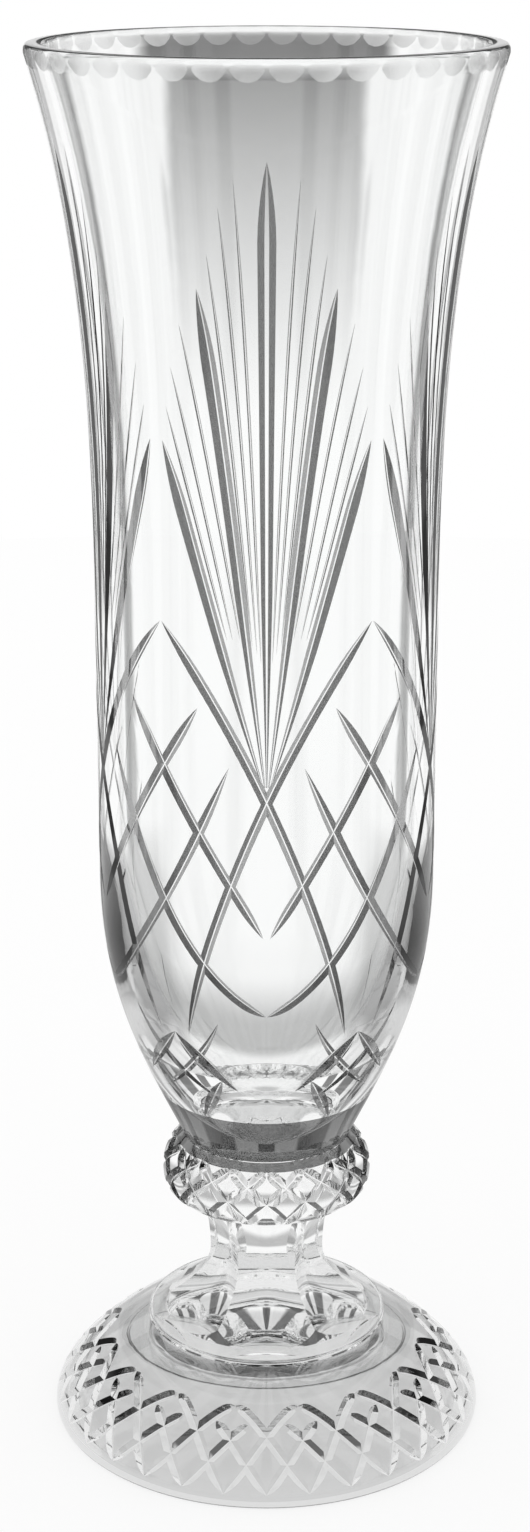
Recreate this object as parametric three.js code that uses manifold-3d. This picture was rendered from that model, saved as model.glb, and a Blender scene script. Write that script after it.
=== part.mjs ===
// Footed vase of clear cut glass, in millimetres with +Z up and its origin under the
// middle of the foot. Four turned glass pieces stand on each other: a domed foot, a
// fluted stem, a round knop and a deep bowl. Each joint is ground flat and closed by a
// thin clear film of adhesive. Angles are in degrees from the front, which is -Y.
import * as THREE from 'three';
import { mergeVertices } from 'three/addons/utils/BufferGeometryUtils.js';
import Module from 'manifold-3d';

const wasm = await Module();
wasm.setup();

// Facets of the turned surfaces: round the axis, and along each curve of an outline.
const roundFacets = 48;
const curveSteps = 7;

// Foot: a dome, hollow underneath, that stands on a narrow flat ring.
const footRadius = 56.6;
const footHeight = 26.2;
const footEdgeHeight = 1.5;
const footEdgeTurn = 7;
const footShoulderInset = 13.6;
const footShoulderDrop = 7.2;
const footStandInset = 0.8;
const footStandWidth = 4.4;
const footCrown = 5.6;
const footHollowEdge = 10;
const footHollowFlat = 36;

// Stem: a thin round disc under a low collar, and a flare and waist with flat flutes.
const discRadius = 31.3;
const discThickness = 1.4;
const discRound = 0.9;
const collarRadius = 27;
const collarHeight = 2.2;
const neckRadius = 24.5;
const neckHeight = 6.5;
const fluteCount = 6;
const fluteFootRadius = 36;
const fluteFootHeight = 1.9;
const flareSweepRadius = 24.5;
const flareSweepHeight = 2.8;
const flareTurnHeight = 11.5;
const flareHeight = 18.6;
const waistRadius = 14.8;
const stemHeight = 34.9;
const stemTopRadius = 17.4;

// Knop: widest a little below the middle, with a flat seat above and below.
const knopRadius = 27.2;
const knopHeight = 17.8;
const knopGirthHeight = 7.9;
const knopUnderInset = 1.7;
const knopUnderRise = 0.3;
const knopUnderTurn = 4.9;
const knopOverTurn = 5;
const knopOverInset = 3.2;
const knopOverDrop = 2.5;

// Bowl: a cone that turns upright, a straight body and a flared rim.
const bowlFootRadius = 21.8;
const bowlRadius = 42.4;
const bowlHeight = 276.5;
const bowlTurnHeight = 72.5;
const bowlFlareStart = 150;
const rimRadius = 56.6;
const bowlWall = 5.2;
const rimWall = 4.6;
const bowlBase = 4.6;
const hollowTurnHeight = 86.5;
const hollowTipRadius = 8;
const hollowShoulder = 56;

// How the bowl's outline bends: run of each curve's handles along it.
const coneHandleRadius = 30;
const coneHandleHeight = 18;
const turnHandle = 36.5;
const flareHandle = 50;
const rimHandleInset = 10.6;
const rimHandleDrop = 36.5;
const lipFacets = 8;

// Scallops ground round the outside of the rim, square to its flare.
const scallopCount = 42;
const scallopRadius = 4.75;
const scallopGrind = 14;
const scallopDrop = 0.6;
const scallopFlatRadius = 2.2;
const scallopFacets = 10;

// Wheel cuts: how the wheel's edge leans, and how far its blade stands out of the glass.
const flankSlope = 40;
const bladeClearance = 0.9;
const bladeLift = 0.05;
const entryShare = 0.18;

// Fan of each bowl panel: from its foot on the bowl up to tips below the rim.
const panelCount = 5;
const fanFootHeight = 107.5;
const fanStations = 4;
const middleTipDrop = 22;
const middleWidth = 4.2;
const innerTipAngle = 20;
const innerTipDrop = 50.6;
const innerFootAngle = 0.6;
const innerWidth = 3.2;
const outerTipAngle = 33.8;
const outerTipDrop = 86.5;
const outerFootAngle = 1.2;
const outerWidth = 3;

// Lattice of each bowl panel: start, pull and end of each stroke, as angle and height.
const latticeWidth = 2.6;
const latticeStations = 5;
const longStroke = [[-36, 146.5], [3, 113.5], [30, 40]];
const middleStroke = [[-49.5, 126.5], [-25, 98], [-1, 69]];
const lowStroke = [[-60, 112.5], [-28, 56.5], [0, 47.8]];

// Band round the foot: long strokes from each peak, and short ones that cross under it.
const bandCount = 16;
const bandWidth = 2.7;
const bandSlope = 38;
const bandStations = 4;
const bandTop = 19.9;
const bandPull = 18.3;
const bandEnd = 3.6;
const shortTop = 17;
const shortPull = 14;
const shortEnd = 3.8;
const shortOverlap = 5.6;

// Joints: the film's thickness, and how far its edge stays back from the glass edge.
const bondThickness = 0.2;
const bondSetback = 0.6;

// Heights of the pieces above the table, each resting on the one below.
const stemBase = footHeight + bondThickness;
const knopBase = stemBase + stemHeight + bondThickness;
const bowlBottom = knopBase + knopHeight + bondThickness;

// Seats between the pieces; the stem's top is fluted, so its film ends inside the flats.
const halfFlute = Math.PI / fluteCount;
const stemSeatRadius = discRadius - discRound;
const knopSeatRadius = stemTopRadius;
const knopFilmRadius = stemTopRadius * Math.cos(halfFlute);
const bowlSeatRadius = bowlFootRadius;

/** A closed solid turned round the axis from an outline of (radius, height) points. */
function turned(outline, facets, firstAngle = 0) {
  const points = outline.getPoints(curveSteps);
  const geometry = new THREE.LatheGeometry(points, facets, firstAngle);
  return geometry.rotateX(Math.PI / 2);
}

/** The solid of a closed geometry, with its shared corners merged. */
function solidOf(geometry) {
  const bare = geometry.clone();
  bare.deleteAttribute('normal');
  bare.deleteAttribute('uv');
  const merged = mergeVertices(bare);
  const corners = merged.index.array;
  const triangles = [];
  for (let first = 0; first < corners.length; first += 3) {
    const [a, b, c] = corners.slice(first, first + 3);
    if (a !== b && b !== c && c !== a) {
      triangles.push(a, b, c);
    }
  }
  return new wasm.Manifold(new wasm.Mesh({
    numProp: 3,
    vertProperties: new Float32Array(merged.attributes.position.array),
    triVerts: new Uint32Array(triangles),
  }));
}

/** The geometry of a solid, ready for a mesh. */
function geometryOf(solid) {
  const mesh = solid.getMesh();
  const geometry = new THREE.BufferGeometry();
  geometry.setAttribute('position', new THREE.BufferAttribute(mesh.vertProperties, 3));
  geometry.setIndex(new THREE.BufferAttribute(mesh.triVerts, 1));
  geometry.computeVertexNormals();
  return geometry;
}

/** The radius of a turned outside at a height, from its outline of (radius, height) points. */
function radiusAt(outside, height) {
  for (let place = 1; place < outside.length; place += 1) {
    const low = outside[place - 1];
    const high = outside[place];
    if (height >= low.y && height <= high.y && high.y > low.y) {
      return low.x + (high.x - low.x) * (height - low.y) / (high.y - low.y);
    }
  }
  return height < outside[0].y ? outside[0].x : outside[outside.length - 1].x;
}

/** A place on a turned outside, and the way it faces, at an angle and a height. */
function onOutside(outside, angle, height) {
  const radius = radiusAt(outside, height);
  const lean = radiusAt(outside, height + bladeClearance) - radiusAt(outside, height - bladeClearance);
  const turn = angle * Math.PI / 180;
  const outward = new THREE.Vector3(Math.sin(turn), -Math.cos(turn), 0);
  const place = outward.clone().multiplyScalar(radius);
  place.z = height;
  const facing = outward.multiplyScalar(2 * bladeClearance);
  facing.z = -lean;
  return { place, facing: facing.normalize() };
}

/** One stroke of the wheel: a wedge bent along the outside from start past pull to end. */
function strokeSolid(outside, [start, pull, end], width, slope, stations) {
  const path = new THREE.QuadraticBezierCurve(
    new THREE.Vector2(...start),
    new THREE.Vector2(...pull),
    new THREE.Vector2(...end),
  );
  const lean = Math.tan(slope * Math.PI / 180);
  const shares = [0];
  for (let station = 0; station < stations; station += 1) {
    shares.push(entryShare + (1 - 2 * entryShare) * station / (stations - 1));
  }
  shares.push(1);
  const corners = [];
  const triangles = [];
  shares.forEach((share, station) => {
    const at = path.getPoint(share);
    const heading = path.getTangent(share);
    const { place, facing } = onOutside(outside, at.x, at.y);
    const ahead = onOutside(outside, at.x + heading.x, at.y + heading.y).place;
    const along = ahead.sub(place).normalize();
    const across = new THREE.Vector3().crossVectors(facing, along).normalize();
    const atTip = station === 0 || station === shares.length - 1;
    const depth = atTip ? -bladeLift : width / 2 * lean;
    const reach = (depth + bladeClearance) / lean;
    const edge = place.clone().addScaledVector(facing, -depth);
    const top = place.clone().addScaledVector(facing, bladeClearance);
    corners.push(
      ...edge.toArray(),
      ...top.clone().addScaledVector(across, reach).toArray(),
      ...top.clone().addScaledVector(across, -reach).toArray(),
    );
    if (station > 0) {
      const here = station * 3;
      const before = here - 3;
      for (let side = 0; side < 3; side += 1) {
        const next = (side + 1) % 3;
        triangles.push(before + side, before + next, here + next);
        triangles.push(before + side, here + next, here + side);
      }
    }
  });
  const last = (shares.length - 1) * 3;
  triangles.push(0, 2, 1, last, last + 1, last + 2);
  return new wasm.Manifold(new wasm.Mesh({
    numProp: 3,
    vertProperties: new Float32Array(corners),
    triVerts: new Uint32Array(triangles),
  }));
}

/** The same stroke on the other side of the front. */
function mirrored(points) {
  return points.map(([angle, height]) => [-angle, height]);
}

/** A solid with strokes repeated evenly round its outside, less any crumb that they cut free. */
function carved(solid, outside, strokes, repeats) {
  let result = solid;
  for (const { points, width, slope, stations } of strokes) {
    const blade = strokeSolid(outside, points, width, slope, stations);
    for (let place = 0; place < repeats; place += 1) {
      result = result.subtract(blade.rotate([0, 0, place * 360 / repeats]));
    }
  }
  const bodies = result.decompose().sort((one, other) => other.volume() - one.volume());
  return bodies[0];
}

/** Foot: over the dome from the hollow's crown to the seat of the stem. */
function footBlank() {
  const standRadius = footRadius - footStandInset;
  const hollowRadius = standRadius - footStandWidth;
  const hollowHeight = footHeight - footCrown;
  const outline = new THREE.Path();
  outline.moveTo(0, hollowHeight);
  outline.bezierCurveTo(
    footHollowFlat, hollowHeight,
    hollowRadius, footHollowEdge,
    hollowRadius, 0,
  );
  outline.lineTo(standRadius, 0);
  outline.lineTo(footRadius, footEdgeHeight);
  outline.bezierCurveTo(
    footRadius, footEdgeHeight + footEdgeTurn,
    footRadius - footShoulderInset, footHeight - footShoulderDrop,
    discRadius, footHeight,
  );
  outline.lineTo(0, footHeight);
  return outline;
}

/** Foot with its band of long and short strokes that cross each other. */
function footGeometry() {
  const blank = footBlank();
  const outside = blank.getPoints(curveSteps).filter((point) => point.x >= discRadius);
  const spacing = 360 / bandCount;
  const peak = spacing / 2;
  const rise = outside.findIndex((point) => point.x === footRadius);
  const long = [[peak, bandTop], [peak + spacing / 2, bandPull], [peak + spacing, bandEnd]];
  const short = [
    [peak - shortOverlap, shortTop],
    [peak + (spacing / 2 - shortOverlap) / 2, shortPull],
    [peak + spacing / 2, shortEnd],
  ];
  const strokes = [long, mirrored(long), short, mirrored(short)].map((points) => ({
    points,
    width: bandWidth,
    slope: bandSlope,
    stations: bandStations,
  }));
  const solid = solidOf(turned(blank, roundFacets));
  return geometryOf(carved(solid, outside.slice(rise), strokes, bandCount));
}

/** Stem: a six-sided flare and waist that grows out of a low collar on a round disc. */
function stemGeometry() {
  const discTop = discRadius - discRound;
  const disc = new THREE.Path();
  disc.moveTo(0, 0);
  disc.lineTo(discTop, 0);
  disc.quadraticCurveTo(discRadius, 0, discRadius, discThickness / 2);
  disc.quadraticCurveTo(discRadius, discThickness, discTop, discThickness);
  disc.lineTo(0, discThickness);

  const collar = new THREE.Path();
  collar.moveTo(0, 0);
  collar.lineTo(discTop, 0);
  collar.lineTo(discTop, discThickness);
  collar.lineTo(collarRadius, collarHeight);
  collar.lineTo(neckRadius, neckHeight);
  collar.lineTo(neckRadius, stemHeight + collarHeight);
  collar.lineTo(0, stemHeight + collarHeight);

  const flutes = new THREE.Path();
  const fluteBottom = discThickness / 2;
  flutes.moveTo(0, fluteBottom);
  flutes.lineTo(fluteFootRadius, fluteBottom);
  flutes.lineTo(fluteFootRadius, fluteFootHeight);
  flutes.bezierCurveTo(
    flareSweepRadius, flareSweepHeight,
    waistRadius, flareTurnHeight,
    waistRadius, flareHeight,
  );
  flutes.quadraticCurveTo(waistRadius, (flareHeight + stemHeight) / 2, stemTopRadius, stemHeight);
  flutes.lineTo(0, stemHeight);

  const flare = solidOf(turned(collar, roundFacets))
    .intersect(solidOf(turned(flutes, fluteCount, halfFlute)));
  return geometryOf(solidOf(turned(disc, roundFacets)).add(flare));
}

/** Knop: out from the lower seat to its girth and in again to the upper seat. */
function knopGeometry() {
  const outline = new THREE.Path();
  outline.moveTo(0, 0);
  outline.lineTo(knopSeatRadius, 0);
  outline.bezierCurveTo(
    knopRadius - knopUnderInset, knopUnderRise,
    knopRadius, knopGirthHeight - knopUnderTurn,
    knopRadius, knopGirthHeight,
  );
  outline.bezierCurveTo(
    knopRadius, knopGirthHeight + knopOverTurn,
    knopRadius - knopOverInset, knopHeight - knopOverDrop,
    bowlSeatRadius, knopHeight,
  );
  outline.lineTo(0, knopHeight);
  return turned(outline, roundFacets);
}

/** Bowl outline: up the outside, over the rounded rim and down the inside to the hollow's tip. */
function bowlBlank() {
  const rimHalf = rimWall / 2;
  const rimHeight = bowlHeight - rimHalf;
  const innerRadius = bowlRadius - bowlWall;
  const outline = new THREE.Path();
  outline.moveTo(0, 0);
  outline.lineTo(bowlSeatRadius, 0);
  outline.bezierCurveTo(
    coneHandleRadius, coneHandleHeight,
    bowlRadius, turnHandle,
    bowlRadius, bowlTurnHeight,
  );
  outline.lineTo(bowlRadius, bowlFlareStart);
  outline.bezierCurveTo(
    bowlRadius, bowlFlareStart + flareHandle,
    rimRadius - rimHandleInset, bowlHeight - rimHandleDrop,
    rimRadius, rimHeight,
  );
  for (let facet = 1; facet <= lipFacets; facet += 1) {
    const turn = Math.PI * facet / lipFacets;
    outline.lineTo(
      rimRadius - rimHalf + rimHalf * Math.cos(turn),
      rimHeight + rimHalf * Math.sin(turn),
    );
  }
  outline.bezierCurveTo(
    rimRadius - rimWall - rimHandleInset, bowlHeight - rimHandleDrop,
    innerRadius, bowlFlareStart + flareHandle,
    innerRadius, bowlFlareStart,
  );
  outline.lineTo(innerRadius, hollowTurnHeight);
  outline.bezierCurveTo(
    innerRadius, hollowTurnHeight - hollowShoulder,
    hollowTipRadius, bowlBase,
    0, bowlBase,
  );
  return outline;
}

/** The crown of the grinding wheel for one scallop, its face square to the rim's flare at +X. */
function scallopWheel() {
  const rimHalf = rimWall / 2;
  const lean = Math.atan2(rimHandleInset, rimHandleDrop - rimHalf);
  const depthAt = (radius) => scallopGrind - Math.sqrt(scallopGrind ** 2 - radius ** 2);
  const depth = depthAt(scallopRadius);
  const crown = new THREE.Path();
  crown.moveTo(0, depthAt(scallopFlatRadius));
  crown.lineTo(scallopFlatRadius, depthAt(scallopFlatRadius));
  crown.lineTo(scallopRadius, depth);
  crown.lineTo(scallopRadius, depth + scallopRadius);
  crown.lineTo(0, depth + scallopRadius);
  const wheel = turned(crown, scallopFacets);
  wheel.translate(0, 0, -depth);
  wheel.rotateY(Math.PI / 2 + lean);
  const aboveLip = rimHalf - scallopDrop;
  return wheel.translate(rimRadius + aboveLip * Math.tan(lean), 0, bowlHeight - scallopDrop);
}

/** Bowl with its fans, its lattices and the ring of scallops round its rim. */
function bowlGeometry() {
  const blank = bowlBlank();
  const drawn = blank.getPoints(curveSteps);
  const rim = drawn.findIndex((point) => point.y >= bowlHeight - rimWall / 2);
  const outside = drawn.slice(1, rim + 1);
  const wheel = solidOf(scallopWheel());
  let solid = solidOf(turned(blank, roundFacets));
  for (let place = 0; place < scallopCount; place += 1) {
    solid = solid.subtract(wheel.rotate([0, 0, place * 360 / scallopCount]));
  }

  const fanStroke = (tipAngle, tipDrop, footAngle, width) => ({
    points: [
      [tipAngle, bowlHeight - tipDrop],
      [(tipAngle + footAngle) / 2, (bowlHeight - tipDrop + fanFootHeight) / 2],
      [footAngle, fanFootHeight],
    ],
    width,
    slope: flankSlope,
    stations: fanStations,
  });
  const latticeStroke = (points) => ({
    points,
    width: latticeWidth,
    slope: flankSlope,
    stations: latticeStations,
  });
  const oneSide = [
    fanStroke(innerTipAngle, innerTipDrop, innerFootAngle, innerWidth),
    fanStroke(outerTipAngle, outerTipDrop, outerFootAngle, outerWidth),
    latticeStroke(longStroke),
    latticeStroke(middleStroke),
    latticeStroke(lowStroke),
  ];
  const strokes = [fanStroke(0, middleTipDrop, 0, middleWidth)];
  for (const stroke of oneSide) {
    strokes.push(stroke, { ...stroke, points: mirrored(stroke.points) });
  }
  return geometryOf(carved(solid, outside, strokes, panelCount));
}

/** Bond: a thin round film that stays back from the edge of the smaller seat. */
function bondGeometry(seatRadius) {
  const film = new THREE.CylinderGeometry(
    seatRadius - bondSetback,
    seatRadius - bondSetback,
    bondThickness,
    roundFacets,
  );
  film.rotateX(Math.PI / 2);
  return film.translate(0, 0, bondThickness / 2);
}

/** Clear glass, a little different in tint from piece to piece. */
function crystal(tint) {
  return new THREE.MeshStandardMaterial({ color: tint, roughness: 0.02, metalness: 0 });
}

/** Cured adhesive: clear and colourless. */
function adhesive() {
  return new THREE.MeshStandardMaterial({ color: 0xf4f6f6, roughness: 0.1, metalness: 0 });
}

/** One named piece of the vase, standing at its height above the table. */
function piece(name, geometry, material, height) {
  const mesh = new THREE.Mesh(geometry, material);
  mesh.name = name;
  mesh.position.z = height;
  return mesh;
}

const vase = new THREE.Group();
vase.add(piece('foot', footGeometry(), crystal(0xdfe5e6), 0));
vase.add(piece('foot_bond', bondGeometry(stemSeatRadius), adhesive(), footHeight));
vase.add(piece('stem', stemGeometry(), crystal(0xe4eaea), stemBase));
vase.add(piece('stem_bond', bondGeometry(knopFilmRadius), adhesive(), stemBase + stemHeight));
vase.add(piece('knop', knopGeometry(), crystal(0xdde3e5), knopBase));
vase.add(piece('knop_bond', bondGeometry(bowlSeatRadius), adhesive(), knopBase + knopHeight));
vase.add(piece('bowl', bowlGeometry(), crystal(0xe6ebec), bowlBottom));

export default vase;
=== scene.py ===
"""Footed vase of clear cut glass: the turned pieces, their wheel cuts and their finishes.

Lengths are in millimetres and angles in degrees until a mesh is laid down in metres.
Angle 0 is the front of the vase, towards -Y, and angles grow towards +X.
"""

import logging
import math
from dataclasses import dataclass, field, replace
from enum import Enum, IntEnum

import bpy
import numpy as np
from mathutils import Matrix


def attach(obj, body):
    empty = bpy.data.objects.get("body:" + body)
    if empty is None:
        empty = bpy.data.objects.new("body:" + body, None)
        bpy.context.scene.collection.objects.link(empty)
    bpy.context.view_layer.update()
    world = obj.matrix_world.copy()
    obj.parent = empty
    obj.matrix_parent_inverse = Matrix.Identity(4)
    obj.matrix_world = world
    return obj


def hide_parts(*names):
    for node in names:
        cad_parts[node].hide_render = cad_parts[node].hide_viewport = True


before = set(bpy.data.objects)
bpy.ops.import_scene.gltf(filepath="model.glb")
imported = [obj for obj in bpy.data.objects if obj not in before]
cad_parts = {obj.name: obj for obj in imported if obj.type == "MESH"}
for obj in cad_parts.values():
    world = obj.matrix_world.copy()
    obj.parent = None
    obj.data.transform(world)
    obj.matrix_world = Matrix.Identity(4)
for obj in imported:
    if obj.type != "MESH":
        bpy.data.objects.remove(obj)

MM = 0.001
BLANK_FACING = "blank_facing"
PAINTED_CUT_SHADE = "painted_cut_shade"
FULL_TURN = 360.0

Point = tuple[float, float]
Ramp = tuple[float, ...]
Piece = bpy.types.Object
Finishes = list[bpy.types.Material]
Sockets = dict[str | int, object]

log = logging.getLogger("footed_vase")


class Surface(IntEnum):
    """Which finish a face takes, by its place in a piece's list of materials."""

    BODY = 0
    CUT = 1
    SEAT = 2
    GROUND = 3
    # Ring bands, which take glass darkened with painted shade where shadow gathers in the thick glass.
    RING = 4


class Joining(Enum):
    """How one closed solid is combined with another."""

    CUT_AWAY = "DIFFERENCE"
    GROWN_ON = "UNION"
    SHARED = "INTERSECT"


@dataclass(frozen=True)
class Shade:
    """Painted shade on the flanks of a piece's cuts: the share of light each flank keeps, set by which way
    it leans.

    Attributes:
        inward: The painted share of light through a flank that leans towards the middle of its panel.
        outward: The painted share of light through a flank that leans away from it.
        upward: The painted share of light through any flank that leans up, or None where that makes no
            difference.
        above: Height under which the inward flanks are as clear as the outward ones.
        calm: How near to the middle of a panel the inward flanks are clear too, in degrees.
        panels: How many panels go round the piece.
        level: A face stays clear where the cosine of its lean from the blank is above this.
    """

    inward: float
    outward: float
    upward: float | None = None
    above: float = 0.0
    calm: float = 0.0
    panels: int = 1
    level: float = 0.97

    def of(self, places: np.ndarray, faces: np.ndarray, blank: np.ndarray) -> np.ndarray:
        """The painted shade at each corner of the cuts, as a share of light kept.

        Args:
            places: Where the corners are.
            faces: Which way the cut faces there.
            blank: Which way the uncut glass would face there.

        Returns:
            A share from 0 to 1 for each corner.
        """
        angle = np.degrees(np.arctan2(places[:, 0], -places[:, 1]))
        spacing = FULL_TURN / self.panels
        local = (angle + spacing / 2) % spacing - spacing / 2
        turn = np.radians(angle)
        sideways = faces[:, 0] * np.cos(turn) + faces[:, 1] * np.sin(turn)
        # Painted shade: flanks that lean in are darker than flanks that lean out, as the room's dark and
        # light would fall on them.
        share = np.where(sideways * np.sign(local) < 0, self.inward, self.outward)
        share = np.where((places[:, 2] < self.above) | (np.abs(local) < self.calm), self.outward, share)
        if self.upward is not None:
            share = np.where(faces[:, 2] > blank[:, 2], self.upward, share)
        return np.where((faces * blank).sum(axis=1) > self.level, 1.0, share)


# Drawing board: outlines of the turned pieces.


@dataclass(frozen=True)
class Run:
    """One run of a turned outline, straight or bent, up to its end.

    Attributes:
        end: Radius and height of its last point.
        handles: The two handles of a bend, or None for a straight run.
        steps: How many lines it is drawn with.
        surface: The finish of the faces that it turns.
        outer: Whether the run is part of the outside that the wheel cuts.
    """

    end: Point
    handles: tuple[Point, Point] | None = None
    steps: int = 1
    surface: Surface = Surface.BODY
    outer: bool = False

    def drawn_from(self, start: Point) -> list[Point]:
        """The run's points after its start.

        Args:
            start: Where the run before it ended.

        Returns:
            Its points of radius and height, ending with its end.
        """
        shares = [step / self.steps for step in range(1, self.steps + 1)]
        if self.handles is None:
            (near, low), (far, high) = start, self.end
            return [(near + (far - near) * t, low + (high - low) * t) for t in shares]
        corners = (start, *self.handles, self.end)
        weights = [((1 - t) ** 3, 3 * t * (1 - t) ** 2, 3 * t * t * (1 - t), t**3) for t in shares]
        return [
            (sum(w * c[0] for w, c in zip(row, corners)), sum(w * c[1] for w, c in zip(row, corners)))
            for row in weights
        ]


@dataclass
class Outline:
    """Half section of a turned piece, drawn counter-clockwise so that its outside is on the right.

    Attributes:
        start: Radius and height of the first point, on the axis.
        runs: The runs, of which the last ends on the axis.
        base: Height above the table from which the heights are counted.
        corner: A bend sharper than this between two lines stays a crisp edge.
        batch: How many places are looked up at once.
        aside: A line counts as another wall where the cosine between the two facings is below this.
        detour: How many millimetres farther away such a line counts, for each unit below aside.
    """

    start: Point
    runs: list[Run]
    base: float = 0.0
    corner: float = 20.0
    batch: int = 20000
    aside: float = 0.9
    detour: float = 2.0
    points: np.ndarray = field(init=False)
    surfaces: list[Surface] = field(init=False)
    outer: list[bool] = field(init=False)
    facing: np.ndarray = field(init=False)
    ends_facing: np.ndarray = field(init=False)

    def __post_init__(self) -> None:
        """Draws the runs, and works out which way each line and each of its ends faces."""
        points = [self.start]
        self.surfaces = []
        self.outer = []
        for run in self.runs:
            drawn = run.drawn_from(points[-1])
            points += drawn
            self.surfaces += [run.surface] * len(drawn)
            self.outer += [run.outer] * len(drawn)
        self.points = np.array(points) + (0.0, self.base)
        along = np.diff(self.points, axis=0)
        length = np.hypot(along[:, 0], along[:, 1])[:, None]
        self.facing = np.stack([along[:, 1], -along[:, 0]], axis=1) / length
        self.ends_facing = np.repeat(self.facing[:, None, :], 2, axis=1)
        limit = math.cos(math.radians(self.corner))
        for line in range(len(along) - 1):
            if float(self.facing[line] @ self.facing[line + 1]) > limit:
                shared = self.facing[line] * length[line + 1] + self.facing[line + 1] * length[line]
                shared /= np.linalg.norm(shared)
                self.ends_facing[line, 1] = shared
                self.ends_facing[line + 1, 0] = shared

    def outside_at(self, height: float) -> tuple[float, float, float]:
        """The outside at a height.

        Args:
            height: Height above the table.

        Returns:
            Its radius, and the outward and upward parts of the way that it faces.
        """
        nearest = (math.inf, 0, 0.0)
        for line in np.flatnonzero(self.outer):
            low, high = self.points[line, 1], self.points[line + 1, 1]
            share = (height - low) / (high - low)
            miss = max(0.0, -share, share - 1.0)
            if miss < nearest[0]:
                nearest = (miss, line, min(1.0, max(0.0, share)))
        _, line, share = nearest
        radius = self.points[line, 0] * (1 - share) + self.points[line + 1, 0] * share
        faces = self.ends_facing[line, 0] * (1 - share) + self.ends_facing[line, 1] * share
        faces = faces / np.linalg.norm(faces)
        return float(radius), float(faces[0]), float(faces[1])

    def facing_at(self, places: np.ndarray, about: np.ndarray) -> np.ndarray:
        """How the turned surface faces at places on it.

        Args:
            places: Radius and height of each place.
            about: Roughly how each place faces, so that a near but opposite wall isn't taken.

        Returns:
            The outward and upward part of the exact facing of each place.
        """
        along = np.diff(self.points, axis=0)
        squared = (along**2).sum(axis=1)
        found = np.zeros_like(places)
        for first in range(0, len(places), self.batch):
            batch = slice(first, first + self.batch)
            offset = places[batch, None, :] - self.points[None, :-1]
            share = np.clip((offset * along).sum(axis=2) / squared, 0.0, 1.0)
            gap = np.linalg.norm(offset - share[..., None] * along, axis=2)
            agrees = about[batch] @ self.facing.T
            line = np.argmin(gap + self.detour * np.clip(self.aside - agrees, 0.0, None), axis=1)
            t = share[np.arange(len(line)), line][:, None]
            faces = self.ends_facing[line, 0] * (1 - t) + self.ends_facing[line, 1] * t
            found[batch] = faces / np.linalg.norm(faces, axis=1)[:, None]
        return found


# Bench: what is done to a mesh with the usual tools.


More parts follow.
